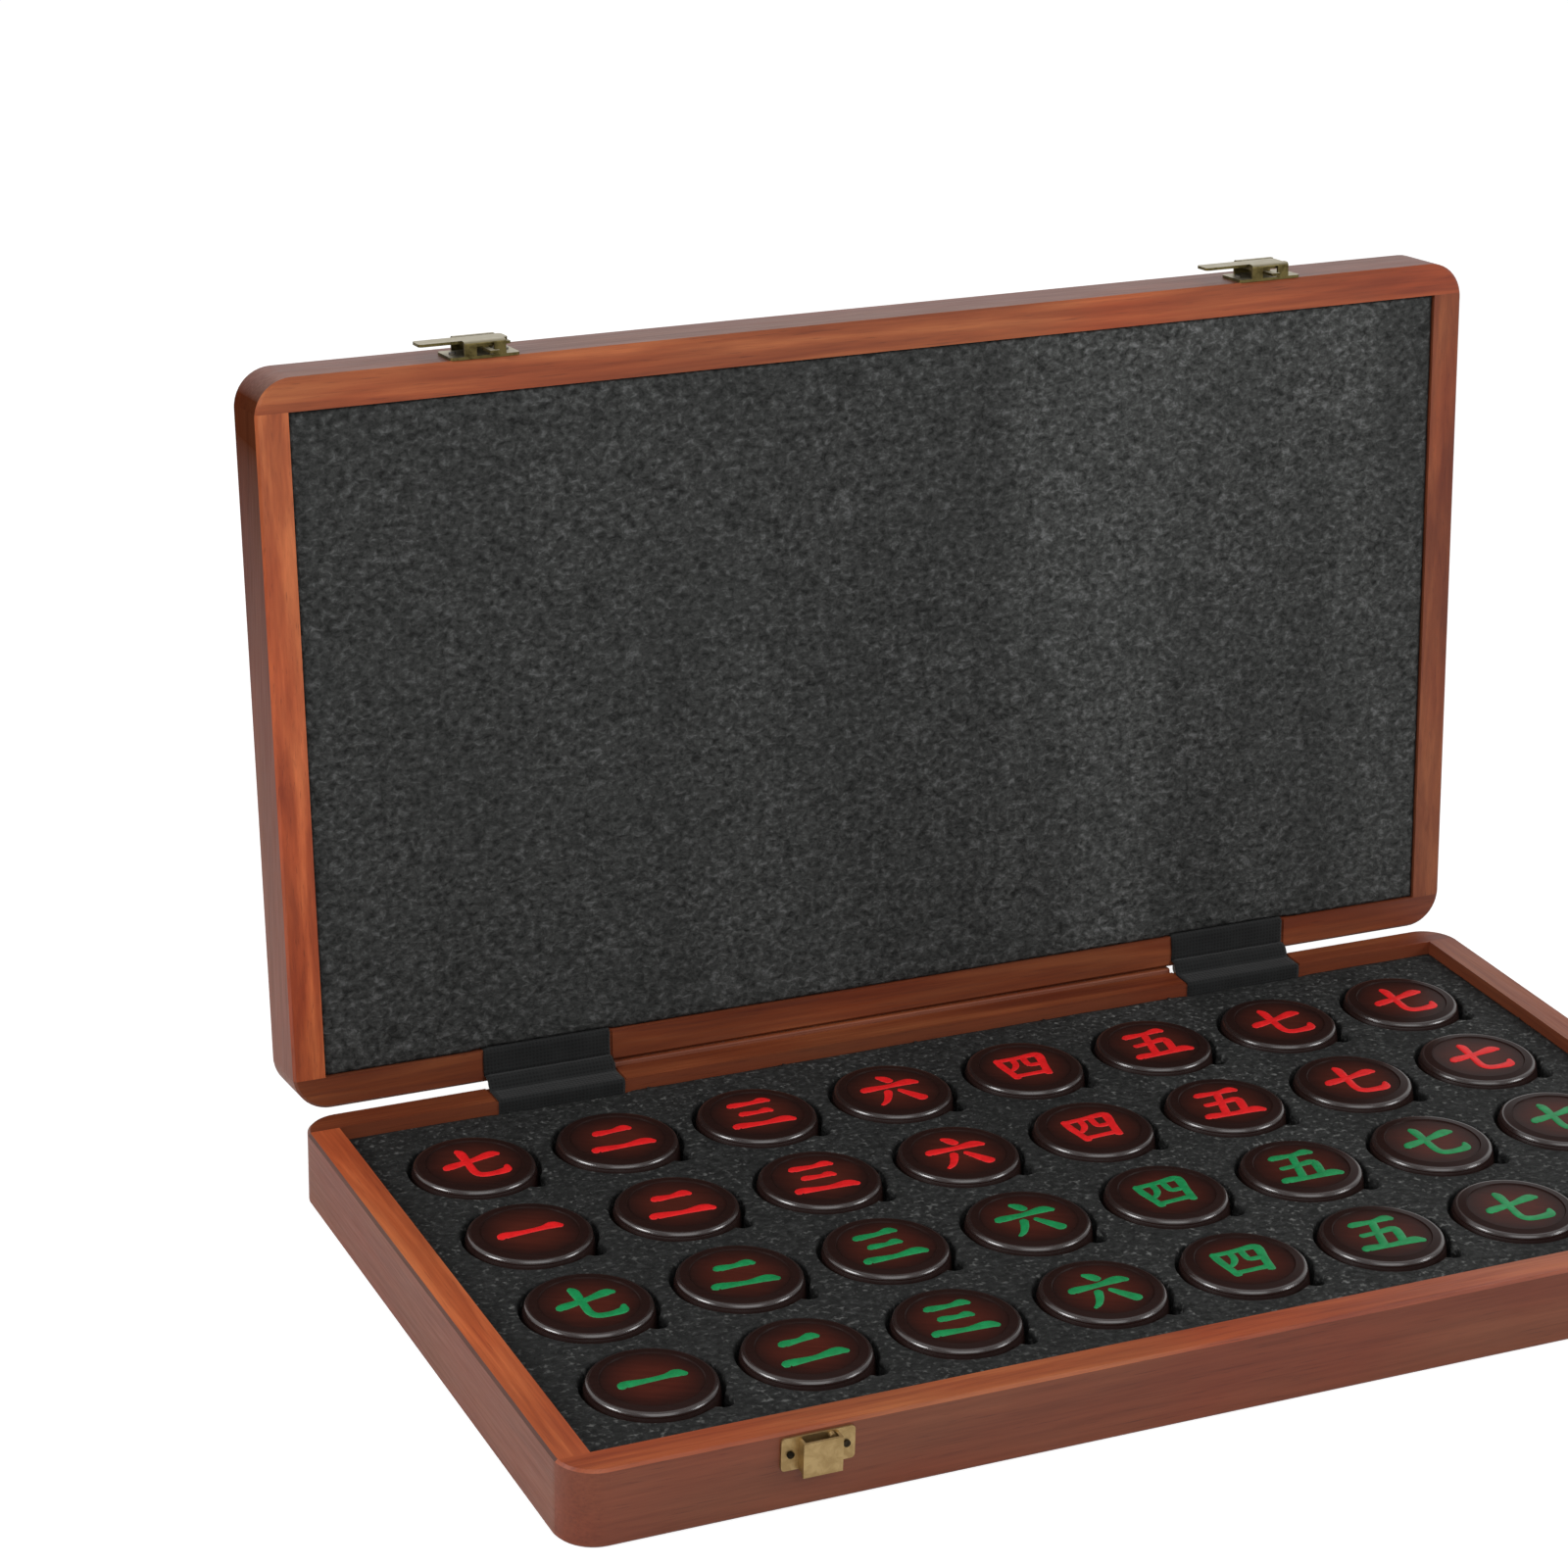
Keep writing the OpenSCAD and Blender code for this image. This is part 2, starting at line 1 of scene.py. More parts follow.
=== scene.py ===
"""Looks of a boxed xiangqi set: wood, foam, cloth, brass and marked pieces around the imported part."""

import json
import math

import bmesh
import bpy
from mathutils import Matrix, Vector, noise


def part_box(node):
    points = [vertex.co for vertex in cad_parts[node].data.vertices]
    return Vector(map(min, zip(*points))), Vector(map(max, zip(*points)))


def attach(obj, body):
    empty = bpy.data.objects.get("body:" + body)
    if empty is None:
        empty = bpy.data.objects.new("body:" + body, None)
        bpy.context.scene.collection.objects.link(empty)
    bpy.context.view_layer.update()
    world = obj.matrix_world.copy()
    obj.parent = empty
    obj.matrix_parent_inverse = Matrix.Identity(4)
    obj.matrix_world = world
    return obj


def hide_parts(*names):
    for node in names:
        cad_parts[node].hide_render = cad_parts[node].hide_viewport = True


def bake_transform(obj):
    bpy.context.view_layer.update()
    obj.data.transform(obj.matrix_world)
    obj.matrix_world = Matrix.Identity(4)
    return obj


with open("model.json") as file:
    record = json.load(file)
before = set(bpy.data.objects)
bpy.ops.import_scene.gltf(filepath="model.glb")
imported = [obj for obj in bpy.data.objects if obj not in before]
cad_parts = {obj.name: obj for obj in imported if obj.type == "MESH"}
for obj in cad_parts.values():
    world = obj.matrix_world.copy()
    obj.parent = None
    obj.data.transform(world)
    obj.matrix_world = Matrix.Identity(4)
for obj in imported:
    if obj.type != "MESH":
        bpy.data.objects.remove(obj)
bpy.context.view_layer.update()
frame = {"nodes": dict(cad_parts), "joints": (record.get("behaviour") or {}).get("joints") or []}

# Sizes that follow the solids, in metres
MM = 0.001
POCKET_RADIUS = 20.8 * MM
NOTCH_RADIUS = 4 * MM
NOTCH_ANGLE = math.radians(-45)
POCKET_LIP = 0.8 * MM
FIELD_DEPTH = 0.35 * MM
LID_OPEN = math.radians(95.7)
LID_FOAM_RECESS = 0.9 * MM
LID_HEIGHT = 22 * MM
PANEL_THICKNESS = 4 * MM
RIM_GAP = 0.3 * MM
RAIL_WIDTH = 10.4 * MM
HINGE_SETBACK = 1.1 * MM
LEAF_LENGTH = 40 * MM
KNUCKLE_ROOM = 2.6 * MM
CLOTH_WIDTH = 44 * MM
CLOTH_THICKNESS = 0.4 * MM
CLOTH_SINK = 0.1 * MM
CLOTH_TUCK = 11 * MM

# Unevenness and mesh of the foam, and how the cloth presses its rear edge
WALL_WOBBLE = 0.22 * MM
WALL_LEAN = 0.1 * MM
TRAY_WAVE = 0.16 * MM
TRAY_EDGE_DROP = 0.45 * MM
LID_WAVE = 0.18 * MM
LID_EDGE_DROP = 0.5 * MM
LID_CELLS = (120, 66)
SOFT_EDGE = 1.0 * MM
WELD_DISTANCE = 0.02 * MM
PRESS_DEPTH = 0.65 * MM
PRESS_NEAR = 0.4 * MM
PRESS_FAR = 2.4 * MM
PRESS_REACH = 4 * MM

# Course, unevenness and mesh of the cloth
CLOTH_BEND = 0.9 * MM
CLOTH_LEAVE = 1.2 * MM
CLOTH_LIFT = 0.2 * MM
CLOTH_STEP = 0.8 * MM
CLOTH_COLUMNS = 28
CLOTH_FLAT_STEPS = 5
CLOTH_RIPPLE = 0.35 * MM
CURVE_STEPS = 12

# Names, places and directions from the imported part
SIDES = ("red", "green")
PIECE_NAMES = [name for name in frame["nodes"] if name.split("_")[0] in SIDES]
HINGE_POINT = Vector(next(j["pos_m"] for j in frame["joints"] if j["name"] == "lid_hinge"))
TO_LID = (Matrix.Translation(HINGE_POINT) @ Matrix.Rotation(-LID_OPEN, 4, "X")
          @ Matrix.Translation(-HINGE_POINT))
HINGE_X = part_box("hinge_pins")[1].x - LEAF_LENGTH / 2
UPWARD = Vector((0, 0, 1))
LEFTWARD = Vector((-1, 0, 0))
RIM_OF_BASE = UPWARD
RIM_OF_LID = TO_LID.to_3x3() @ Vector((0, 0, -1))


# Node helpers

def srgb(red, green, blue):
    """A linear colour from display values of 0 to 255."""
    linear = [v / 12.92 if v <= 0.04045 else ((v + 0.055) / 1.055) ** 2.4
              for v in (red / 255, green / 255, blue / 255)]
    return (*linear, 1.0)


def shaded(colour, share):
    """A share of a linear colour."""
    return (*(v * share for v in colour[:3]), 1.0)


def new_material(name, **values):
    """A material with constant values set on its Principled shader."""
    material = bpy.data.materials.new(name)
    material.use_nodes = True
    shader = material.node_tree.nodes["Principled BSDF"]
    for key, value in values.items():
        shader.inputs[key.replace("_", " ")].default_value = value
    return material, shader


def fill(material, socket, value):
    """Links an output to a socket, or sets the socket's value."""
    if isinstance(value, bpy.types.NodeSocket):
        material.node_tree.links.new(value, socket)
    else:
        socket.default_value = value


def node(material, kind, inputs=None, **settings):
    """A node with its settings and inputs."""
    made = material.node_tree.nodes.new(kind)
    for key, value in settings.items():
        setattr(made, key, value)
    for key, value in (inputs or {}).items():
        fill(material, made.inputs[key], value)
    return made


def math_node(material, operation, first, second=0.0):
    """The result of a sum or other operation on two numbers."""
    return node(material, "ShaderNodeMath", {0: first, 1: second}, operation=operation).outputs[0]


def mix(material, factor, first, second, blend="MIX"):
    """Two colours mixed by a factor."""
    made = node(material, "ShaderNodeMix", {0: factor, 6: first, 7: second},
                data_type="RGBA", blend_type=blend)
    return made.outputs[2]


def ramp(material, factor, stops):
    """A colour ramp through (place, colour) stops."""
    made = node(material, "ShaderNodeValToRGB", {"Fac": factor})
    elements = made.color_ramp.elements
    while len(elements) < len(stops):
        elements.new(0.5)
    for element, (at, colour) in zip(elements, stops):
        element.position = at
        element.color = colour
    return made.outputs["Color"]


def span(material, value, low, high, to_low=0.0, to_high=1.0):
    """A value taken from one range to another, with its ends held."""
    made = node(material, "ShaderNodeMapRange",
                {"Value": value, "From Min": low, "From Max": high, "To Min": to_low, "To Max": to_high})
    return made.outputs["Result"]


def place(material, rotation=(0, 0, 0), scale=(1, 1, 1), output="Object"):
    """Texture coordinates, turned first and then scaled."""
    source = node(material, "ShaderNodeTexCoord").outputs[output]
    turned = node(material, "ShaderNodeMapping", {"Vector": source, "Rotation": rotation}).outputs["Vector"]
    return node(material, "ShaderNodeMapping", {"Vector": turned, "Scale": scale}).outputs["Vector"]


def split(material, vector):
    """The X, Y and Z outputs of a vector."""
    return node(material, "ShaderNodeSeparateXYZ", {"Vector": vector}).outputs


def facing(material, direction):
    """How far a surface turns toward a direction, from -1 to 1."""
    normal = node(material, "ShaderNodeTexCoord").outputs["Normal"]
    made = node(material, "ShaderNodeVectorMath", {0: normal, 1: direction}, operation="DOT_PRODUCT")
    return made.outputs["Value"]


def noise_of(material, vector, scale, detail=3.0, roughness=0.55, distortion=0.0):
    """The grey value of a noise texture."""
    made = node(material, "ShaderNodeTexNoise",
                {"Vector": vector, "Scale": scale, "Detail": detail, "Roughness": roughness,
                 "Distortion": distortion})
    return made.outputs["Fac"]


def bump(material, shader, height, strength, distance):
    """Relief from a height value."""
    made = node(material, "ShaderNodeBump", {"Height": height, "Strength": strength, "Distance": distance})
    fill(material, shader.inputs["Normal"], made.outputs["Normal"])


# Colours of the materials; stains and greys as (place on the texture's scale, colour)
BLACK = (0, 0, 0, 1)
WHITE = (1, 1, 1, 1)
RIM_STAIN = [(0.33, srgb(126, 60, 33)), (0.50, srgb(152, 80, 45)), (0.67, srgb(178, 104, 62))]
FACE_STAIN = [(0.30, srgb(106, 57, 36)), (0.50, srgb(115, 63, 40)), (0.70, srgb(122, 68, 44))]
FIBRE_STAIN = srgb(84, 40, 26)
PORE_STAIN = srgb(58, 26, 18)
BLOTCH_STAIN = srgb(190, 110, 70)
EDGE_DARK = srgb(36, 20, 15)
FOAM_GREYS = [(0.30, srgb(18, 19, 18)), (0.45, srgb(46, 47, 46)),
              (0.57, srgb(62, 63, 62)), (0.72, srgb(92, 93, 93))]
GRAIN_GREY = srgb(96, 97, 97)
CLOUD_GREY = srgb(38, 40, 39)
SPECK_GREY = srgb(118, 119, 117)
# Painted light: gain of the pale bands on the foam's right side
BAND_LIGHT_GAIN = (1.55, 1.55, 1.55, 1)

# Shine of the wood, and the share of colour that its left faces lose to painted shade
WOOD_SHINE = 0.35
PAINTED_SHADE_SHARE = 0.62

# Painted light and shade per rail, as shares of the rim stain: the rear and right rails are darkened as
# painted shade, the left rails brightened as painted light
RAIL_PAINTED_LIGHT = {"front": 1.0, "rear": 0.5, "left": 1.25, "right": 0.6}
DARK_EDGES = {("base", "left"): 0.85}
# Painted shade on faces turned to the left, as shares at the low and the high end of the piece
LEFT_PAINTED_SHADE = {("lid", "front"): (1.0, 1.0), ("lid", "left"): (0.0, 1.0)}
# Nodes that share a rail's wood and its painted light and shade; the stop lath so takes the rear rail's
# painted shade
SAME_WOOD = {("base", "front"): "base_bottom_panel", ("base", "rear"): "base_stop_lath",
             ("lid", "front"): "lid_top_panel"}


# Materials

def wood(name, turn, rim_normal, painted_light_share=1.0, dark_edge=0.0, painted_shade=None):
    """Stained hardwood with its grain along x once turned.

    The rim that faces rim_normal has a paler stain, scaled by a share that paints light above 1 and shade
    below 1; its broken outer edge may be darker.
    Faces to the left may take a painted shade, darker and less shiny, by shares at the low and the high end
    of the piece, in place of a darker reflection.
    """
    material, shader = new_material(name, Specular_IOR_Level=WOOD_SHINE)
    streaks = noise_of(material, place(material, turn, (9, 150, 150)), 1.0, 5.0, 0.55, 0.4)
    fibres = noise_of(material, place(material, turn, (40, 1100, 1100)), 1.0, 3.0, 0.6)
    pores = noise_of(material, place(material, turn, (90, 2200, 2200)), 1.0, 2.0, 0.5)
    blotches = noise_of(material, place(material, turn, (12, 30, 30)), 1.0, 2.0, 0.5)
    # Painted light and shade: the rim stain is scaled by the rail's share
    rim = ramp(material, streaks, [(at, shaded(colour, painted_light_share)) for at, colour in RIM_STAIN])
    face = ramp(material, streaks, FACE_STAIN)
    # Painted shade on faces turned to the left: darker colour and less shine, by height
    if painted_shade:
        height = split(material, node(material, "ShaderNodeTexCoord").outputs["Generated"])["Z"]
        left_shade_mask = math_node(material, "MULTIPLY", span(material, height, 0.1, 0.95, *painted_shade),
                          span(material, facing(material, LEFTWARD), 0.2, 0.9))
        face = mix(material, math_node(material, "MULTIPLY", left_shade_mask, PAINTED_SHADE_SHARE), face, BLACK)
        fill(material, shader.inputs["Specular IOR Level"], span(material, left_shade_mask, 0.0, 1.0, WOOD_SHINE, 0.0))
    rimward = facing(material, rim_normal)
    colour = mix(material, span(material, rimward, 0.35, 0.8), face, rim)
    colour = mix(material, span(material, fibres, 0.35, 0.7, 0.0, 0.2), colour, FIBRE_STAIN, "MULTIPLY")
    colour = mix(material, span(material, pores, 0.62, 0.74, 0.0, 0.4), colour, PORE_STAIN)
    colour = mix(material, span(material, blotches, 0.35, 0.7, 0.0, 0.4), colour, BLOTCH_STAIN, "OVERLAY")
    # Darker along the broken outer edge of the rim
    if dark_edge:
        edge = math_node(material, "MULTIPLY", span(material, rimward, 0.35, 0.6),
                         span(material, rimward, 0.95, 0.8))
        colour = mix(material, math_node(material, "MULTIPLY", edge, dark_edge), colour, EDGE_DARK)
    fill(material, shader.inputs["Base Color"], colour)
    fill(material, shader.inputs["Roughness"], span(material, fibres, 0.3, 0.7, 0.36, 0.5))
    relief = math_node(material, "SUBTRACT", fibres, span(material, pores, 0.6, 0.75))
    bump(material, shader, relief, 0.12, 0.15 * MM)
    return material


def foam_material(name, painted_light_share, specks):
    """Dark closed-cell foam with a skin of small pale wrinkles, its greys scaled by a share that paints
    shade below 1, a share of pale specks, and painted light in soft pale bands towards the right.
    """
    material, shader = new_material(name, Roughness=0.85, Specular_IOR_Level=0.25)
    coords = place(material)
    wrinkles = noise_of(material, place(material, scale=(400, 520, 520)), 1.0, 3.0, 0.6, 0.4)
    grains = noise_of(material, coords, 1500.0, 2.0, 0.6)
    clouds = noise_of(material, coords, 22.0, 3.0, 0.5)
    light_bands = noise_of(material, place(material, scale=(20, 1.5, 1.5)), 1.0, 2.0, 0.5)
    # Painted shade: the greys are scaled by the given share
    colour = ramp(material, wrinkles, [(at, shaded(grey, painted_light_share)) for at, grey in FOAM_GREYS])
    colour = mix(material, span(material, grains, 0.35, 0.75, 0.0, 0.45), colour, GRAIN_GREY, "OVERLAY")
    colour = mix(material, span(material, clouds, 0.3, 0.7, 0.0, 0.3), colour, shaded(CLOUD_GREY, painted_light_share))
    points = noise_of(material, coords, 540.0, 2.0, 0.5)
    clumps = span(material, noise_of(material, coords, 170.0, 3.0, 0.6), 0.4, 0.62, 0.3, 1.5)
    pale = math_node(material, "MULTIPLY", span(material, points, 0.56, 0.72, 0.0, specks), clumps)
    colour = mix(material, pale, colour, SPECK_GREY)
    # Painted light: soft pale bands towards the right, multiplied into the colour
    sideways = split(material, coords)["X"]
    band_light = math_node(material, "MULTIPLY", span(material, sideways, -0.14, 0.06),
                      span(material, light_bands, 0.42, 0.58))
    colour = mix(material, band_light, colour, BAND_LIGHT_GAIN, "MULTIPLY")
    fill(material, shader.inputs["Base Color"], colour)
    bump(material, shader, wrinkles, 0.9, 0.8 * MM)
    return material


def piece_material():
    """Turned dark wood, nearly black, with a warm glow in the middle of the face and polished shoulders."""
    material, shader = new_material("piece_wood")
    spot = split(material, node(material, "ShaderNodeTexCoord").outputs["Generated"])
    across = math_node(material, "SUBTRACT", spot["X"], 0.5)
    along = math_node(material, "SUBTRACT", spot["Y"], 0.5)
    squares = math_node(material, "ADD", math_node(material, "POWER", across, 2.0),
                        math_node(material, "POWER", along, 2.0))
    radius = math_node(material, "SQRT", squares)
    grain = noise_of(material, place(material, (0, 0, 0.5), (60, 900, 60)), 1.0, 3.0, 0.6, 0.4)
    cloud = noise_of(material, place(material, (0, 0, 0.2)), 90.0, 2.0)
    glow = span(material, math_node(material, "ADD", radius, math_node(material, "MULTIPLY", cloud, 0.12)),
                0.20, 0.44, 1.0, 0.0)
    upward = facing(material, UPWARD)
    glow = math_node(material, "MULTIPLY", glow, span(material, upward, 0.8, 0.98))
    polish = math_node(material, "MULTIPLY", span(material, radius, 0.44, 0.455),
                       span(material, upward, 0.1, 0.35))
    fill(material, shader.inputs["Specular IOR Level"], span(material, polish, 0.0, 1.0, 0.04, 1.0))
    dark = mix(material, grain, srgb(30, 17, 15), srgb(42, 26, 23))
    warm = mix(material, grain, srgb(58, 24, 18), srgb(84, 38, 29))
    fill(material, shader.inputs["Base Color"], mix(material, glow, dark, warm))
    fill(material, shader.inputs["Roughness"], span(material, polish, 0.0, 1.0, 0.34, 0.24))
    bump(material, shader, grain, 0.08, 0.1 * MM)
    return material


def paint(name, colour, shade):
    """Enamel in the marks, slightly uneven."""
    material, shader = new_material(name, Roughness=0.5, Specular_IOR_Level=0.35)
    patches = noise_of(material, place(material), 380.0, 3.0)
    fill(material, shader.inputs["Base Color"],
         mix(material, span(material, patches, 0.3, 0.7), shade, colour))
    bump(material, shader, patches, 0.2, 0.1 * MM)
    return material


def brass(name, clean, tarnish, roughness, wear_and_sheen=None, sheen_normal=UPWARD):
    """Aged sheet brass with tarnish in patches and rubbing marks; faces along a given normal may take a
    paler painted sheen, as if lit from above.
    """
    material, shader = new_material(name, Metallic=1.0)
    patches = noise_of(material, place(material), 260.0, 4.0, 0.6, 0.5)
    marks = noise_of(material, place(material, scale=(300, 2600, 2600)), 1.0, 2.0)
    colour = mix(material, span(material, patches, 0.42, 0.62), clean, tarnish)
    # Painted sheen: faces turned along the given normal are paler, as if catching light from above
    if wear_and_sheen:
        colour = mix(material, span(material, facing(material, sheen_normal), 0.4, 0.8), colour, wear_and_sheen)
    fill(material, shader.inputs["Base Color"], colour)
    rough = math_node(material, "ADD", span(material, patches, 0.35, 0.7, roughness, roughness + 0.15),
                      span(material, marks, 0.3, 0.7, 0.0, 0.06))
    fill(material, shader.inputs["Roughness"], rough)
    bump(material, shader, math_node(material, "ADD", patches, marks), 0.1, 0.1 * MM)
    return material


def steel_material():
    """Dull steel with faint brushing."""
    material, shader = new_material("steel", Metallic=1.0, Roughness=0.4)
    marks = noise_of(material, place(material, scale=(200, 3000, 3000)), 1.0, 3.0)
    fill(material, shader.inputs["Base Color"],
         mix(material, marks, (0.10, 0.09, 0.08, 1), (0.22, 0.21, 0.19, 1)))
    bump(material, shader, marks, 0.1, 0.05 * MM)
    return material


def cloth_material():
    """Black woven cloth; the weave follows the strip's own coordinates."""
    material, shader = new_material("cloth", Roughness=0.9, Specular_IOR_Level=0.2, Sheen_Weight=0.08,
                                    Sheen_Roughness=0.5)
    coords = place(material, output="UV")
    threads = []
    for direction in ("X", "Y"):
        wave = node(material, "ShaderNodeTexWave",
                    {"Vector": coords, "Scale": 260.0, "Distortion": 0.6, "Detail": 1.0},
                    bands_direction=direction)
        threads.append(wave.outputs["Fac"])
    weave = math_node(material, "MAXIMUM", *threads)
    wear_and_sheen = noise_of(material, coords, 90.0, 3.0)
    shade = mix(material, weave, srgb(9, 9, 10), srgb(26, 27, 27))
    fill(material, shader.inputs["Base Color"],
         mix(material, span(material, wear_and_sheen, 0.45, 0.8, 0.0, 0.4), shade, srgb(40, 41, 41)))
    bump(material, shader, weave, 0.5, 0.2 * MM)
    return material


# Mesh helpers

def add_object(name, bm, material, smooth=True):
    """A new object from a bmesh, with outward normals."""
    bmesh.ops.recalc_face_normals(bm, faces=bm.faces)
    for face in bm.faces:
        face.smooth = smooth
    mesh = bpy.data.meshes.new(name)
    bm.to_mesh(mesh)
    bm.free()
    mesh.materials.append(material)
    made = bpy.data.objects.new(name, mesh)
    bpy.context.scene.collection.objects.link(made)
    return made


def skin(bm, rows, closed=False):
    """Quads between rows of vertices; closed joins the ends of each row."""
    for first, second in zip(rows, rows[1:]):
        count = len(first)
        for i in range(count if closed else count - 1):
            k = (i + 1) % count
            bm.faces.new((first[i], first[k], second[k], second[i]))


def close_below(bm, height):
    """Carries the open outer edge of a sheet down to a height and closes the bottom."""
    rim = [edge for edge in bm.edges if edge.is_boundary]
    lowered = bmesh.ops.extrude_edge_only(bm, edges=rim)["geom"]
    for item in lowered:
        if isinstance(item, bmesh.types.BMVert):
            item.co.z = height
    bottom = [edge for edge in bm.edges if edge.is_boundary]
    bmesh.ops.contextual_create(bm, geom=bottom)


def smoothstep(low, high, value):
    """0 below low, 1 above high and a smooth rise between."""
    t = min(1.0, max(0.0, (value - low) / (high - low)))
    return t * t * (3 - 2 * t)


# Foam

def pocket_reach(angle):
    """Distance from a pocket's middle to its wall, with the finger notch."""
    off = math.remainder(angle - NOTCH_ANGLE, math.tau)
    across = POCKET_RADIUS * math.sin(off)
    if math.cos(off) < 0 or abs(across) >= NOTCH_RADIUS:
        return POCKET_RADIUS
    return max(POCKET_RADIUS, POCKET_RADIUS * math.cos(off) + math.sqrt(NOTCH_RADIUS ** 2 - across ** 2))


def cell_angles(corners):
    """Directions round a pocket, alike in all octants, closer near the diagonals and through the corners."""
    octant = [3.75 * i for i in range(9)] + [30 + 1.25 * i for i in range(1, 13)]
    turns = {round(quarter + sign * a, 4) % 360 for quarter in (0, 90, 180, 270) for sign in (-1, 1)
             for a in octant}
    angles = sorted(math.radians(t) for t in turns)
    for corner in corners:
        nearest = min(range(len(angles)), key=lambda i: abs(math.remainder(angles[i] - corner, math.tau)))
        angles[nearest] = corner % math.tau
    return angles


def pressed(x, y, rear):
    """How far the cloth strips push the foam's rear edge in."""
    beside = abs(abs(x) - HINGE_X) - CLOTH_WIDTH / 2
    return PRESS_DEPTH * smoothstep(PRESS_FAR, PRESS_NEAR, beside) * smoothstep(rear - PRESS_REACH, rear, y)


def foam_tray(material):
    """The cut foam of the base: one sheet with soft-edged pockets, closed below."""
    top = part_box("base_foam_tray")[1].z
    bed_low, bed_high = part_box("base_foam_bed")
    low_x, low_y, high_x, high_y = bed_low.x, bed_low.y, bed_high.x, bed_high.y
    floor = bed_high.z
    boxes = [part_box(name) for name in PIECE_NAMES]
    middles = [((a.x + b.x) / 2, (a.y + b.y) / 2) for a, b in boxes]
    columns = sorted({round(x, 5) for x, y in middles})
    lines = sorted({round(y, 5) for x, y in middles})
    half = (columns[1] - columns[0]) / 2
    bm = bmesh.new()
    for x in columns:
        for y in lines:
            left = x - low_x if x == columns[0] else half
            right = high_x - x if x == columns[-1] else half
            front = y - low_y if y == lines[0] else half
            rear = high_y - y if y == lines[-1] else half
            pocket_cell(bm, x, y, (left, right, front, rear), half, top, floor)
    bmesh.ops.remove_doubles(bm, verts=bm.verts, dist=WELD_DISTANCE)
    for vert in bm.verts:
        vert.co.y -= pressed(vert.co.x, vert.co.y, high_y)
    close_below(bm, bed_low.z)
    made = add_object("foam_tray", bm, material)
    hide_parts("base_foam_tray", "base_foam_bed")
    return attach(made, "base")


def pocket_cell(bm, x, y, reaches, half, top, floor):
    """The foam round one pocket, out to the edges of its cell."""
    left, right, front, rear = reaches
    corners = [math.atan2(v, h) for h in (right, -left) for v in (rear, -front)]
    rows = []
    angles = cell_angles(corners)
    lip_turns = [math.radians(a) for a in (0, 30, 60, 90)]
    shares = (0.3, 0.62, 0.85, 1.0)
    for angle in angles:
        c, s = math.cos(angle), math.sin(angle)
        reach_x = right if c > 0 else left
        reach_y = rear if s > 0 else front
        side_x = reach_x / max(abs(c), 1e-9)
        side_y = reach_y / max(abs(s), 1e-9)
        edge = min(side_x, side_y)
        outer = (reach_x if side_x < side_y else reach_y) > half * 1.01
        wobble = WALL_WOBBLE * noise.noise(Vector((c + x * 97, s + y * 61, 0.0)) * 3)
        wall = pocket_reach(angle) + wobble
        rings = [(wall, floor), (wall + WALL_LEAN, (floor + top) / 2)]
        rings += [(wall + POCKET_LIP * (1 - math.cos(t)), top - POCKET_LIP * (1 - math.sin(t)))
                  for t in lip_turns]
        start = wall + POCKET_LIP
        rings += [(start + (edge - start) * share, top) for share in shares]
        column = []
        for i, (radius, height) in enumerate(rings):
            px, py = x + radius * c, y + radius * s
            lift = TRAY_WAVE * noise.noise(Vector((px, py, 0.0)) * 70) if i > 1 else 0.0
            drop = TRAY_EDGE_DROP if outer and i == len(rings) - 1 else 0.0
            column.append(bm.verts.new((px, py, height + lift - drop)))
        rows.append(column)
    rows.append(rows[0])
    skin(bm, rows)
    middle = bm.verts.new((x, y, floor))
    for first, second in zip(rows, rows[1:]):
        bm.faces.new((middle, first[0], second[0]))


def lid_foam(material):
    """The foam slab of the lid, with soft edges."""
    low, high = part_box("base_foam_bed")
    rim = HINGE_POINT.z + RIM_GAP / 2
    face = rim + LID_FOAM_RECESS
    back = rim + LID_HEIGHT - PANEL_THICKNESS
    columns, lines = LID_CELLS
    bm = bmesh.new()
    rows = []
    for j in range(lines + 1):
        row = []
        for i in range(columns + 1):
            x = edge_place(low.x, high.x, i, columns)
            y = edge_place(low.y, high.y, j, lines)
            lift = LID_WAVE * noise.noise(Vector((x, y, 3.0)) * 55)
            border = i in (0, columns) or j in (0, lines)
            row.append(bm.verts.new((x, y, face + lift + (LID_EDGE_DROP if border else 0.0))))
        rows.append(row)
    skin(bm, rows)
    for vert in bm.verts:
        vert.co.y -= pressed(vert.co.x, vert.co.y, high.y)
    close_below(bm, back)
    bm.transform(TO_LID)
    made = add_object("foam_lid", bm, material)
    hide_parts("lid_foam")
    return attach(made, "lid")


def edge_place(low, high, index, count):
    """Even places from low to high, with the first and last steps narrowed to a soft edge."""
    if index in (0, count):
        return low if index == 0 else high
    return low + SOFT_EDGE + (high - low - 2 * SOFT_EDGE) * (index - 1) / (count - 2)


# Cloth strips over the hinges

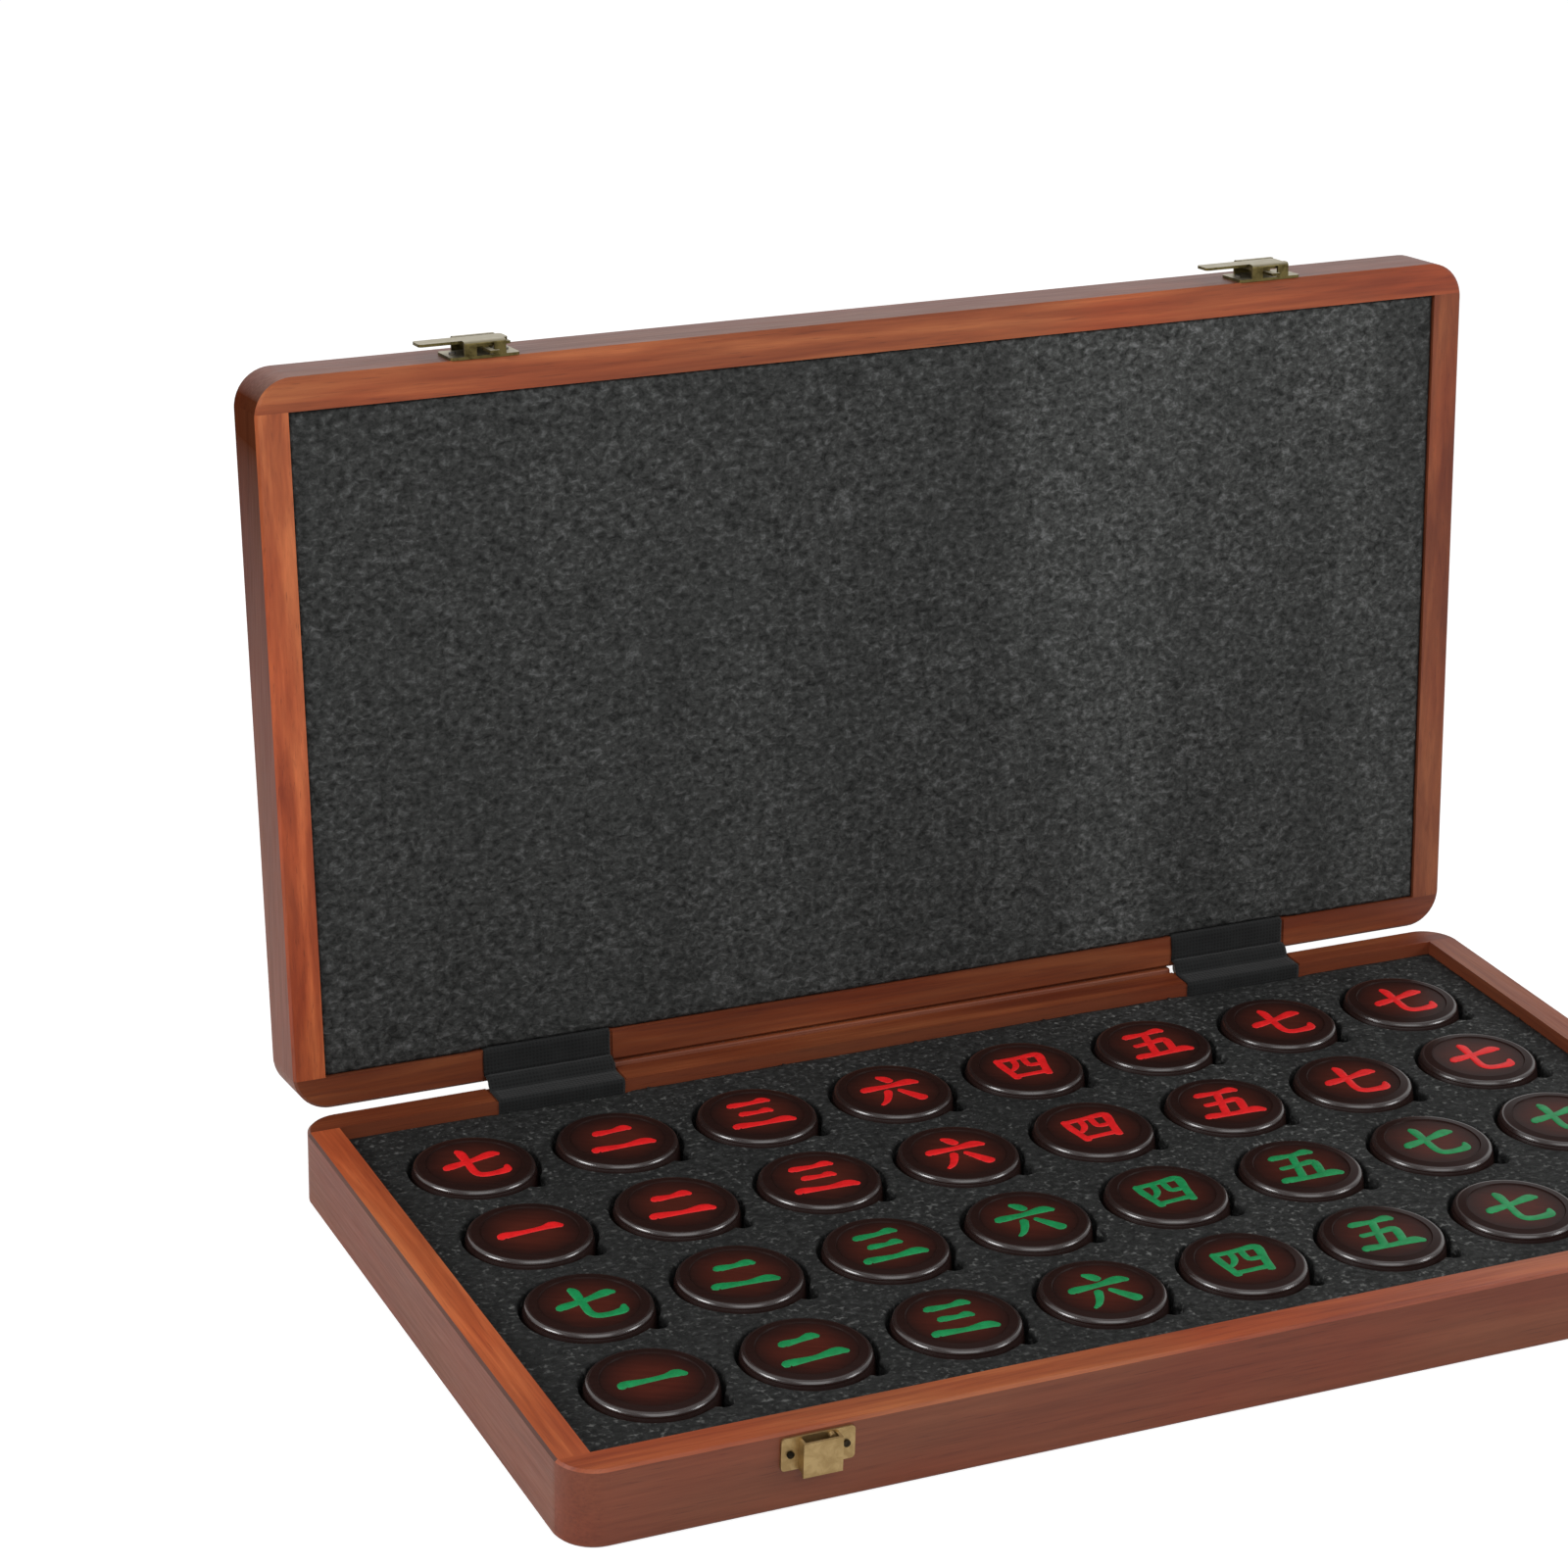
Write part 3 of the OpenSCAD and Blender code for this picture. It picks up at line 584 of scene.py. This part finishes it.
def strip_profile():
    """Points (y, z) along the middle of the cloth, from the base's tuck to the lid's, at rest."""
    depth = CLOTH_SINK + CLOTH_THICKNESS / 2
    front = -HINGE_SETBACK - RAIL_WIDTH - CLOTH_THICKNESS / 2
    rim = -RIM_GAP / 2 - depth
    half = [(front, rim - CLOTH_TUCK + depth), (front, rim - CLOTH_TUCK / 2), (front, rim - CLOTH_BEND)]
    half += [(front + CLOTH_BEND * (1 - math.cos(t)), rim - CLOTH_BEND * (1 - math.sin(t)))
             for t in (math.radians(30), math.radians(60), math.radians(90))]
    bent = front + CLOTH_BEND
    leave = -KNUCKLE_ROOM - CLOTH_LEAVE
    half += [(bent + (leave - bent) * i / CLOTH_FLAT_STEPS, rim) for i in range(1, CLOTH_FLAT_STEPS + 1)]
    lid_side = []
    for y, z in half:
        point = TO_LID.to_3x3() @ Vector((0, y, -z))
        lid_side.append((point.y, point.z))
    radius = KNUCKLE_ROOM + CLOTH_THICKNESS / 2 + CLOTH_LIFT
    turn = math.pi / 2 + (math.pi - LID_OPEN)
    arc = []
    for share in (0.2, 0.35, 0.5, 0.65, 0.8):
        angle = math.pi - share * turn
        arc.append((radius * math.cos(angle), radius * math.sin(angle)))
    return half + arc + lid_side[::-1]


def resample(points, step):
    """A smooth curve through points, cut into even steps."""
    curve = []
    ends = [points[0], *points, points[-1]]
    for a, b, c, d in zip(ends, ends[1:], ends[2:], ends[3:]):
        for i in range(CURVE_STEPS):
            curve.append(spline_point(a, b, c, d, i / CURVE_STEPS))
    curve.append(points[-1])
    lengths = [0.0]
    for first, second in zip(curve, curve[1:]):
        lengths.append(lengths[-1] + math.dist(first, second))
    count = max(2, round(lengths[-1] / step))
    places, k = [], 0
    for i in range(count + 1):
        target = lengths[-1] * i / count
        while k < len(lengths) - 2 and lengths[k + 1] < target:
            k += 1
        reach = max(lengths[k + 1] - lengths[k], 1e-12)
        t = (target - lengths[k]) / reach
        places.append(tuple(p + (q - p) * t for p, q in zip(curve[k], curve[k + 1])))
    return places, lengths[-1]


def spline_point(a, b, c, d, t):
    """A point of the Catmull-Rom curve between b and c."""
    return tuple(0.5 * (2 * q + (r - p) * t + (2 * p - 5 * q + 4 * r - s) * t * t
                        + (3 * q - p - 3 * r + s) * t ** 3)
                 for p, q, r, s in zip(a, b, c, d))


def cloth_strip(name, middle_x, material):
    """One cloth strip over a hinge, shaped at rest round the hinge from the base to the lid."""
    places, length = resample(strip_profile(), CLOTH_STEP)
    bm = bmesh.new()
    uv = bm.loops.layers.uv.new("UVMap")
    rows, where = [], {}
    for j, (y, z) in enumerate(places):
        before, after = places[max(j - 1, 0)], places[min(j + 1, len(places) - 1)]
        tangent = Vector((0, after[0] - before[0], after[1] - before[1])).normalized()
        outward = Vector((0, -tangent.z, tangent.y))
        share = j / (len(places) - 1)
        loose = smoothstep(0.30, 0.46, share) * smoothstep(0.70, 0.54, share)
        row = []
        for i in range(CLOTH_COLUMNS + 1):
            u = 2 * i / CLOTH_COLUMNS - 1
            wave = noise.noise(Vector((middle_x * 9 + u, j * 0.11, 0.4)))
            x = middle_x + u * (CLOTH_WIDTH / 2 - CLOTH_RIPPLE + CLOTH_RIPPLE * wave)
            crease = loose * CLOTH_RIPPLE * noise.noise(Vector((middle_x * 7 + 3.1 * u, j * 0.25, 1.7)))
            point = HINGE_POINT + Vector((x - HINGE_POINT.x, y, z)) + outward * abs(crease)
            vert = bm.verts.new(point)
            where[vert] = (x - middle_x, share * length)
            row.append(vert)
        rows.append(row)
    skin(bm, rows)
    for face in bm.faces:
        for loop in face.loops:
            loop[uv].uv = where[loop.vert]
    made = add_object(name, bm, material)
    thick = made.modifiers.new("thickness", "SOLIDIFY")
    thick.thickness = CLOTH_THICKNESS
    thick.offset = 0.0
    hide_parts("hinge_covers_base", "hinge_covers_lid")
    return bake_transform(made)


# Sizes of the marks; turns in degrees, and the strokes' section as shares of half width and of height
MARK_SIZE = 20.5 * MM
MARK_HEIGHT = 0.2 * MM
MARK_TURN = 7
STROKE_SHARE = 1.3
STROKE_STEP = 0.03
STROKE_END_TURNS = (85, 60, 30)
STROKE_SECTION = ((-1, -0.4), (-0.94, 0.35), (-0.6, 0.85), (0, 1), (0.6, 0.85), (0.94, 0.35), (1, -0.4))

# Plain numerals as brush strokes of (x, y, half width), in shares of the mark's size
ONE_SHARES = [
    [(-0.47, -0.06, 0.045), (-0.40, 0.0, 0.075), (-0.1, 0.0, 0.05), (0.2, 0.02, 0.05),
     (0.38, 0.05, 0.082), (0.48, 0.0, 0.05)],
]
TWO_SHARES = [
    [(-0.28, 0.22, 0.045), (-0.22, 0.25, 0.07), (0.02, 0.26, 0.048), (0.21, 0.30, 0.075),
     (0.29, 0.26, 0.045)],
    [(-0.48, -0.31, 0.045), (-0.41, -0.26, 0.075), (0.0, -0.27, 0.05), (0.34, -0.23, 0.08),
     (0.47, -0.28, 0.05)],
]
THREE_SHARES = [
    [(-0.33, 0.34, 0.04), (-0.26, 0.37, 0.065), (0.05, 0.38, 0.045), (0.24, 0.42, 0.07),
     (0.33, 0.38, 0.04)],
    [(-0.25, 0.02, 0.04), (-0.19, 0.05, 0.062), (0.05, 0.05, 0.045), (0.18, 0.08, 0.068),
     (0.25, 0.04, 0.04)],
    [(-0.48, -0.37, 0.045), (-0.41, -0.32, 0.072), (0.0, -0.33, 0.05), (0.34, -0.29, 0.078),
     (0.47, -0.34, 0.05)],
]
FOUR_SHARES = [
    [(-0.36, 0.30, 0.05), (-0.35, 0.10, 0.055), (-0.31, -0.16, 0.05), (-0.28, -0.34, 0.055)],
    [(-0.37, 0.29, 0.045), (0.0, 0.32, 0.045), (0.32, 0.36, 0.06), (0.37, 0.28, 0.065),
     (0.32, 0.0, 0.055), (0.27, -0.32, 0.055)],
    [(-0.10, 0.30, 0.045), (-0.11, 0.12, 0.045), (-0.17, 0.0, 0.04), (-0.25, -0.08, 0.03)],
    [(0.09, 0.32, 0.045), (0.08, 0.10, 0.045), (0.11, 0.03, 0.045), (0.24, 0.03, 0.045)],
    [(-0.29, -0.29, 0.045), (0.0, -0.27, 0.042), (0.29, -0.25, 0.05)],
]
FIVE_SHARES = [
    [(-0.34, 0.34, 0.045), (-0.26, 0.37, 0.062), (0.05, 0.38, 0.045), (0.27, 0.42, 0.07),
     (0.35, 0.38, 0.045)],
    [(0.02, 0.36, 0.055), (-0.04, 0.10, 0.052), (-0.14, -0.34, 0.058)],
    [(-0.32, 0.02, 0.045), (-0.05, 0.05, 0.045), (0.20, 0.09, 0.062), (0.25, 0.01, 0.062),
     (0.19, -0.33, 0.055)],
    [(-0.48, -0.39, 0.045), (-0.40, -0.35, 0.07), (0.0, -0.36, 0.05), (0.35, -0.32, 0.078),
     (0.48, -0.37, 0.05)],
]
SIX_SHARES = [
    [(-0.05, 0.47, 0.04), (0.02, 0.40, 0.07), (0.07, 0.31, 0.065)],
    [(-0.46, 0.09, 0.045), (-0.38, 0.13, 0.07), (0.0, 0.14, 0.05), (0.33, 0.18, 0.078),
     (0.46, 0.13, 0.045)],
    [(-0.10, -0.04, 0.055), (-0.17, -0.20, 0.05), (-0.27, -0.35, 0.04), (-0.37, -0.43, 0.025)],
    [(0.10, -0.05, 0.04), (0.20, -0.20, 0.06), (0.33, -0.40, 0.08)],
]
SEVEN_SHARES = [
    [(-0.46, -0.02, 0.045), (-0.38, 0.03, 0.07), (0.0, 0.10, 0.05), (0.33, 0.19, 0.075),
     (0.44, 0.17, 0.045)],
    [(-0.09, 0.45, 0.05), (-0.07, 0.36, 0.065), (-0.09, 0.0, 0.052), (-0.10, -0.26, 0.055),
     (-0.03, -0.38, 0.058), (0.15, -0.41, 0.055), (0.36, -0.38, 0.065), (0.42, -0.26, 0.035)],
]
MARKS = {"general": ONE_SHARES, "advisor": TWO_SHARES, "elephant": THREE_SHARES, "chariot": FOUR_SHARES,
         "horse": FIVE_SHARES, "cannon": SIX_SHARES, "soldier": SEVEN_SHARES}


def brush_stroke(bm, points, to_piece):
    """One stroke as a low crowned ridge with rounded ends, closed below."""
    places = resample(points, STROKE_STEP)[0]
    spots = [Vector(at[:2]) for at in places]
    first, last = places[0][2], places[-1][2]
    heading = (spots[1] - spots[0]).normalized()
    ending = (spots[-1] - spots[-2]).normalized()
    turns = [math.radians(a) for a in STROKE_END_TURNS]
    sections = [(spots[0] - heading * first * math.sin(t), heading, first * math.cos(t)) for t in turns]
    for i, spot in enumerate(spots):
        before, after = spots[max(i - 1, 0)], spots[min(i + 1, len(spots) - 1)]
        sections.append((spot, (after - before).normalized(), places[i][2]))
    for t in reversed(turns):
        sections.append((spots[-1] + ending * last * math.sin(t), ending, last * math.cos(t)))
    rows = []
    for middle, along, half in sections:
        side = Vector((-along.y, along.x))
        row = []
        for offset, rise in STROKE_SECTION:
            spot = (middle + side * half * STROKE_SHARE * offset) * MARK_SIZE
            row.append(bm.verts.new(to_piece @ Vector((spot.x, spot.y, rise * MARK_HEIGHT))))
        rows.append(row)
    skin(bm, rows, closed=True)
    bm.faces.new(rows[0])
    bm.faces.new(rows[-1])


def mark(name, material):
    """The painted mark of one piece, riding on it."""
    rank = name.split("_")[1]
    low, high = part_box(name)
    index = PIECE_NAMES.index(name)
    turn = math.radians(MARK_TURN * noise.noise(Vector((index * 1.37, 0.5, 2.0))))
    middle = Vector(((low.x + high.x) / 2, (low.y + high.y) / 2, high.z - FIELD_DEPTH))
    to_piece = Matrix.Translation(middle) @ Matrix.Rotation(turn, 4, "Z")
    bm = bmesh.new()
    for points in MARKS[rank]:
        brush_stroke(bm, points, to_piece)
    made = add_object(name + "_mark", bm, material)
    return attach(made, name)


# Floor and surround: greys and strengths as the camera and as other rays see them
FLOOR_SIZE = 6
FLOOR_DROP = 0.2 * MM
FLOOR_GREY = (0.88, 0.88, 0.88, 1)
SEEN_FLOOR_GREY = (0.5, 0.5, 0.5, 1)
SEEN_FLOOR_GLOW = 0.76
SURROUND_LEVEL = 0.42
BACKDROP_RISE = 0.4

# Lamps as place, target, size in metres and power in watts
LAMPS = {"front": ((-0.3, -1.7, 1.9), (0, 0, 0.1), 2.0, 22),
         "left": ((-1.45, 0.0, 0.75), (0, 0, 0.05), 0.55, 11),
         "right": ((1.25, -0.75, 0.8), (0, 0, 0.05), 0.55, 8)}

# Camera fitted to the photograph's edges: metres, degrees and millimetres of lens
CAMERA_PLACE = (-0.56725, -1.01754, 0.61400)
CAMERA_TURN = (65.243, -1.340, -23.987)
CAMERA_LENS = 96.42
CAMERA_SENSOR = 36
CAMERA_SHIFT = (0.0093, 0.1371)
CAMERA_REACH = 50


# Stage, light and camera

def add_floor():
    """A pale floor that is white to the camera and keeps the object's shadow."""
    bm = bmesh.new()
    bmesh.ops.create_grid(bm, x_segments=1, y_segments=1, size=FLOOR_SIZE)
    bmesh.ops.translate(bm, verts=bm.verts, vec=(0, 0, -FLOOR_DROP))
    material = bpy.data.materials.new("floor")
    material.use_nodes = True
    material.node_tree.nodes.clear()
    lit = node(material, "ShaderNodeBsdfDiffuse", {"Color": FLOOR_GREY}).outputs[0]
    pale = node(material, "ShaderNodeBsdfDiffuse", {"Color": SEEN_FLOOR_GREY}).outputs[0]
    glow = node(material, "ShaderNodeEmission", {"Color": WHITE, "Strength": SEEN_FLOOR_GLOW}).outputs[0]
    white = node(material, "ShaderNodeAddShader", {0: pale, 1: glow}).outputs[0]
    seen = node(material, "ShaderNodeLightPath").outputs["Is Camera Ray"]
    shader = node(material, "ShaderNodeMixShader", {0: seen, 1: lit, 2: white})
    node(material, "ShaderNodeOutputMaterial", {"Surface": shader.outputs[0]})
    floor = add_object("floor", bm, material, smooth=False)


def add_light(name, location, target, size, power):
    """A soft square lamp that faces a target."""
    data = bpy.data.lights.new(name, "AREA")
    data.size = size
    data.energy = power
    lamp = bpy.data.objects.new(name, data)
    bpy.context.scene.collection.objects.link(lamp)
    lamp.location = location
    lamp.rotation_euler = (Vector(target) - Vector(location)).to_track_quat("-Z", "Y").to_euler()


def add_world():
    """An even white surround; the camera sees it as white, and reflections see the backdrop as white."""
    world = bpy.data.worlds.new("surround")
    bpy.context.scene.world = world
    world.use_nodes = True
    background = world.node_tree.nodes["Background"]
    fill(world, background.inputs["Color"], WHITE)
    path = node(world, "ShaderNodeLightPath").outputs
    direction = node(world, "ShaderNodeTexCoord").outputs["Generated"]
    behind = span(world, split(world, direction)["Y"], 0.0, BACKDROP_RISE)
    mirrored = math_node(world, "MULTIPLY", path["Is Glossy Ray"], behind)
    shown = math_node(world, "MAXIMUM", path["Is Camera Ray"], mirrored)
    fill(world, background.inputs["Strength"], span(world, shown, 0.0, 1.0, SURROUND_LEVEL, 1.0))


def add_camera():
    """The photograph's viewpoint."""
    data = bpy.data.cameras.new("camera")
    data.sensor_width = CAMERA_SENSOR
    data.lens = CAMERA_LENS
    data.shift_x, data.shift_y = CAMERA_SHIFT
    data.clip_end = CAMERA_REACH
    camera = bpy.data.objects.new("camera", data)
    bpy.context.scene.collection.objects.link(camera)
    camera.location = CAMERA_PLACE
    camera.rotation_euler = [math.radians(a) for a in CAMERA_TURN]
    bpy.context.scene.camera = camera


def paint_node(name, material):
    """Gives a CAD node its material."""
    slots = frame["nodes"][name].data.materials
    slots.clear()
    slots.append(material)


# The scene
add_camera()
add_world()
add_floor()
for lamp_name, settings in LAMPS.items():
    add_light(lamp_name, *settings)

along_x = (0, 0, 0)
along_y = (0, 0, math.radians(90))
along_lid = (math.radians(90), 0, math.radians(90))
for half, rim_normal, upright in (("base", RIM_OF_BASE, along_y), ("lid", RIM_OF_LID, along_lid)):
    turns = {"front": along_x, "rear": along_x, "left": upright, "right": upright}
    # Each rail's rim takes its share of painted light and shade from the table above
    for rail, painted_light_share in RAIL_PAINTED_LIGHT.items():
        rail_wood = wood(f"{half}_{rail}_wood", turns[rail], rim_normal, painted_light_share,
                         DARK_EDGES.get((half, rail), 0.0), LEFT_PAINTED_SHADE.get((half, rail)))
        paint_node(f"{half}_{rail}_rail", rail_wood)
        if (half, rail) in SAME_WOOD:
            paint_node(SAME_WOOD[half, rail], rail_wood)

# The tray's foam greys are darkened to 0.37 of the lid foam's as painted shade
foam_tray(foam_material("tray_foam", painted_light_share=0.37, specks=0.36))
lid_foam(foam_material("lid_foam", painted_light_share=1.0, specks=0.1))

cloth = cloth_material()
cloth_strip("hinge_cloth_left", -HINGE_X, cloth)
cloth_strip("hinge_cloth_right", HINGE_X, cloth)

# The hasp's faces that point up with the lid open take a paler painted sheen
dark_brass = brass("dark_brass", clean=srgb(112, 100, 62), tarnish=srgb(70, 61, 34), roughness=0.36,
                   wear_and_sheen=srgb(172, 164, 142), sheen_normal=TO_LID.to_3x3() @ Vector((0, -1, 0)))
pale_brass = brass("pale_brass", clean=srgb(182, 156, 110), tarnish=srgb(164, 138, 94), roughness=0.36)
black_brass = brass("black_brass", clean=srgb(58, 50, 38), tarnish=srgb(34, 30, 24), roughness=0.4)
steel = steel_material()
for name in ("hasp_housings", "hasp_slide_left", "hasp_slide_right"):
    paint_node(name, dark_brass)
for name in ("keeper_left", "keeper_right"):
    paint_node(name, pale_brass)
for name in ("hinge_base_leaves", "hinge_lid_leaves", "hinge_pins", "lid_fasteners"):
    paint_node(name, steel)
paint_node("base_fasteners", black_brass)

piece_wood = piece_material()
paints = {"red": paint("red_paint", colour=srgb(232, 28, 30), shade=srgb(205, 18, 22)),
          "green": paint("green_paint", colour=srgb(14, 140, 78), shade=srgb(8, 116, 62))}
for name in PIECE_NAMES:
    paint_node(name, piece_wood)
    mark(name, paints[name.split("_")[0]])

bpy.context.scene.view_settings.view_transform = "Standard"
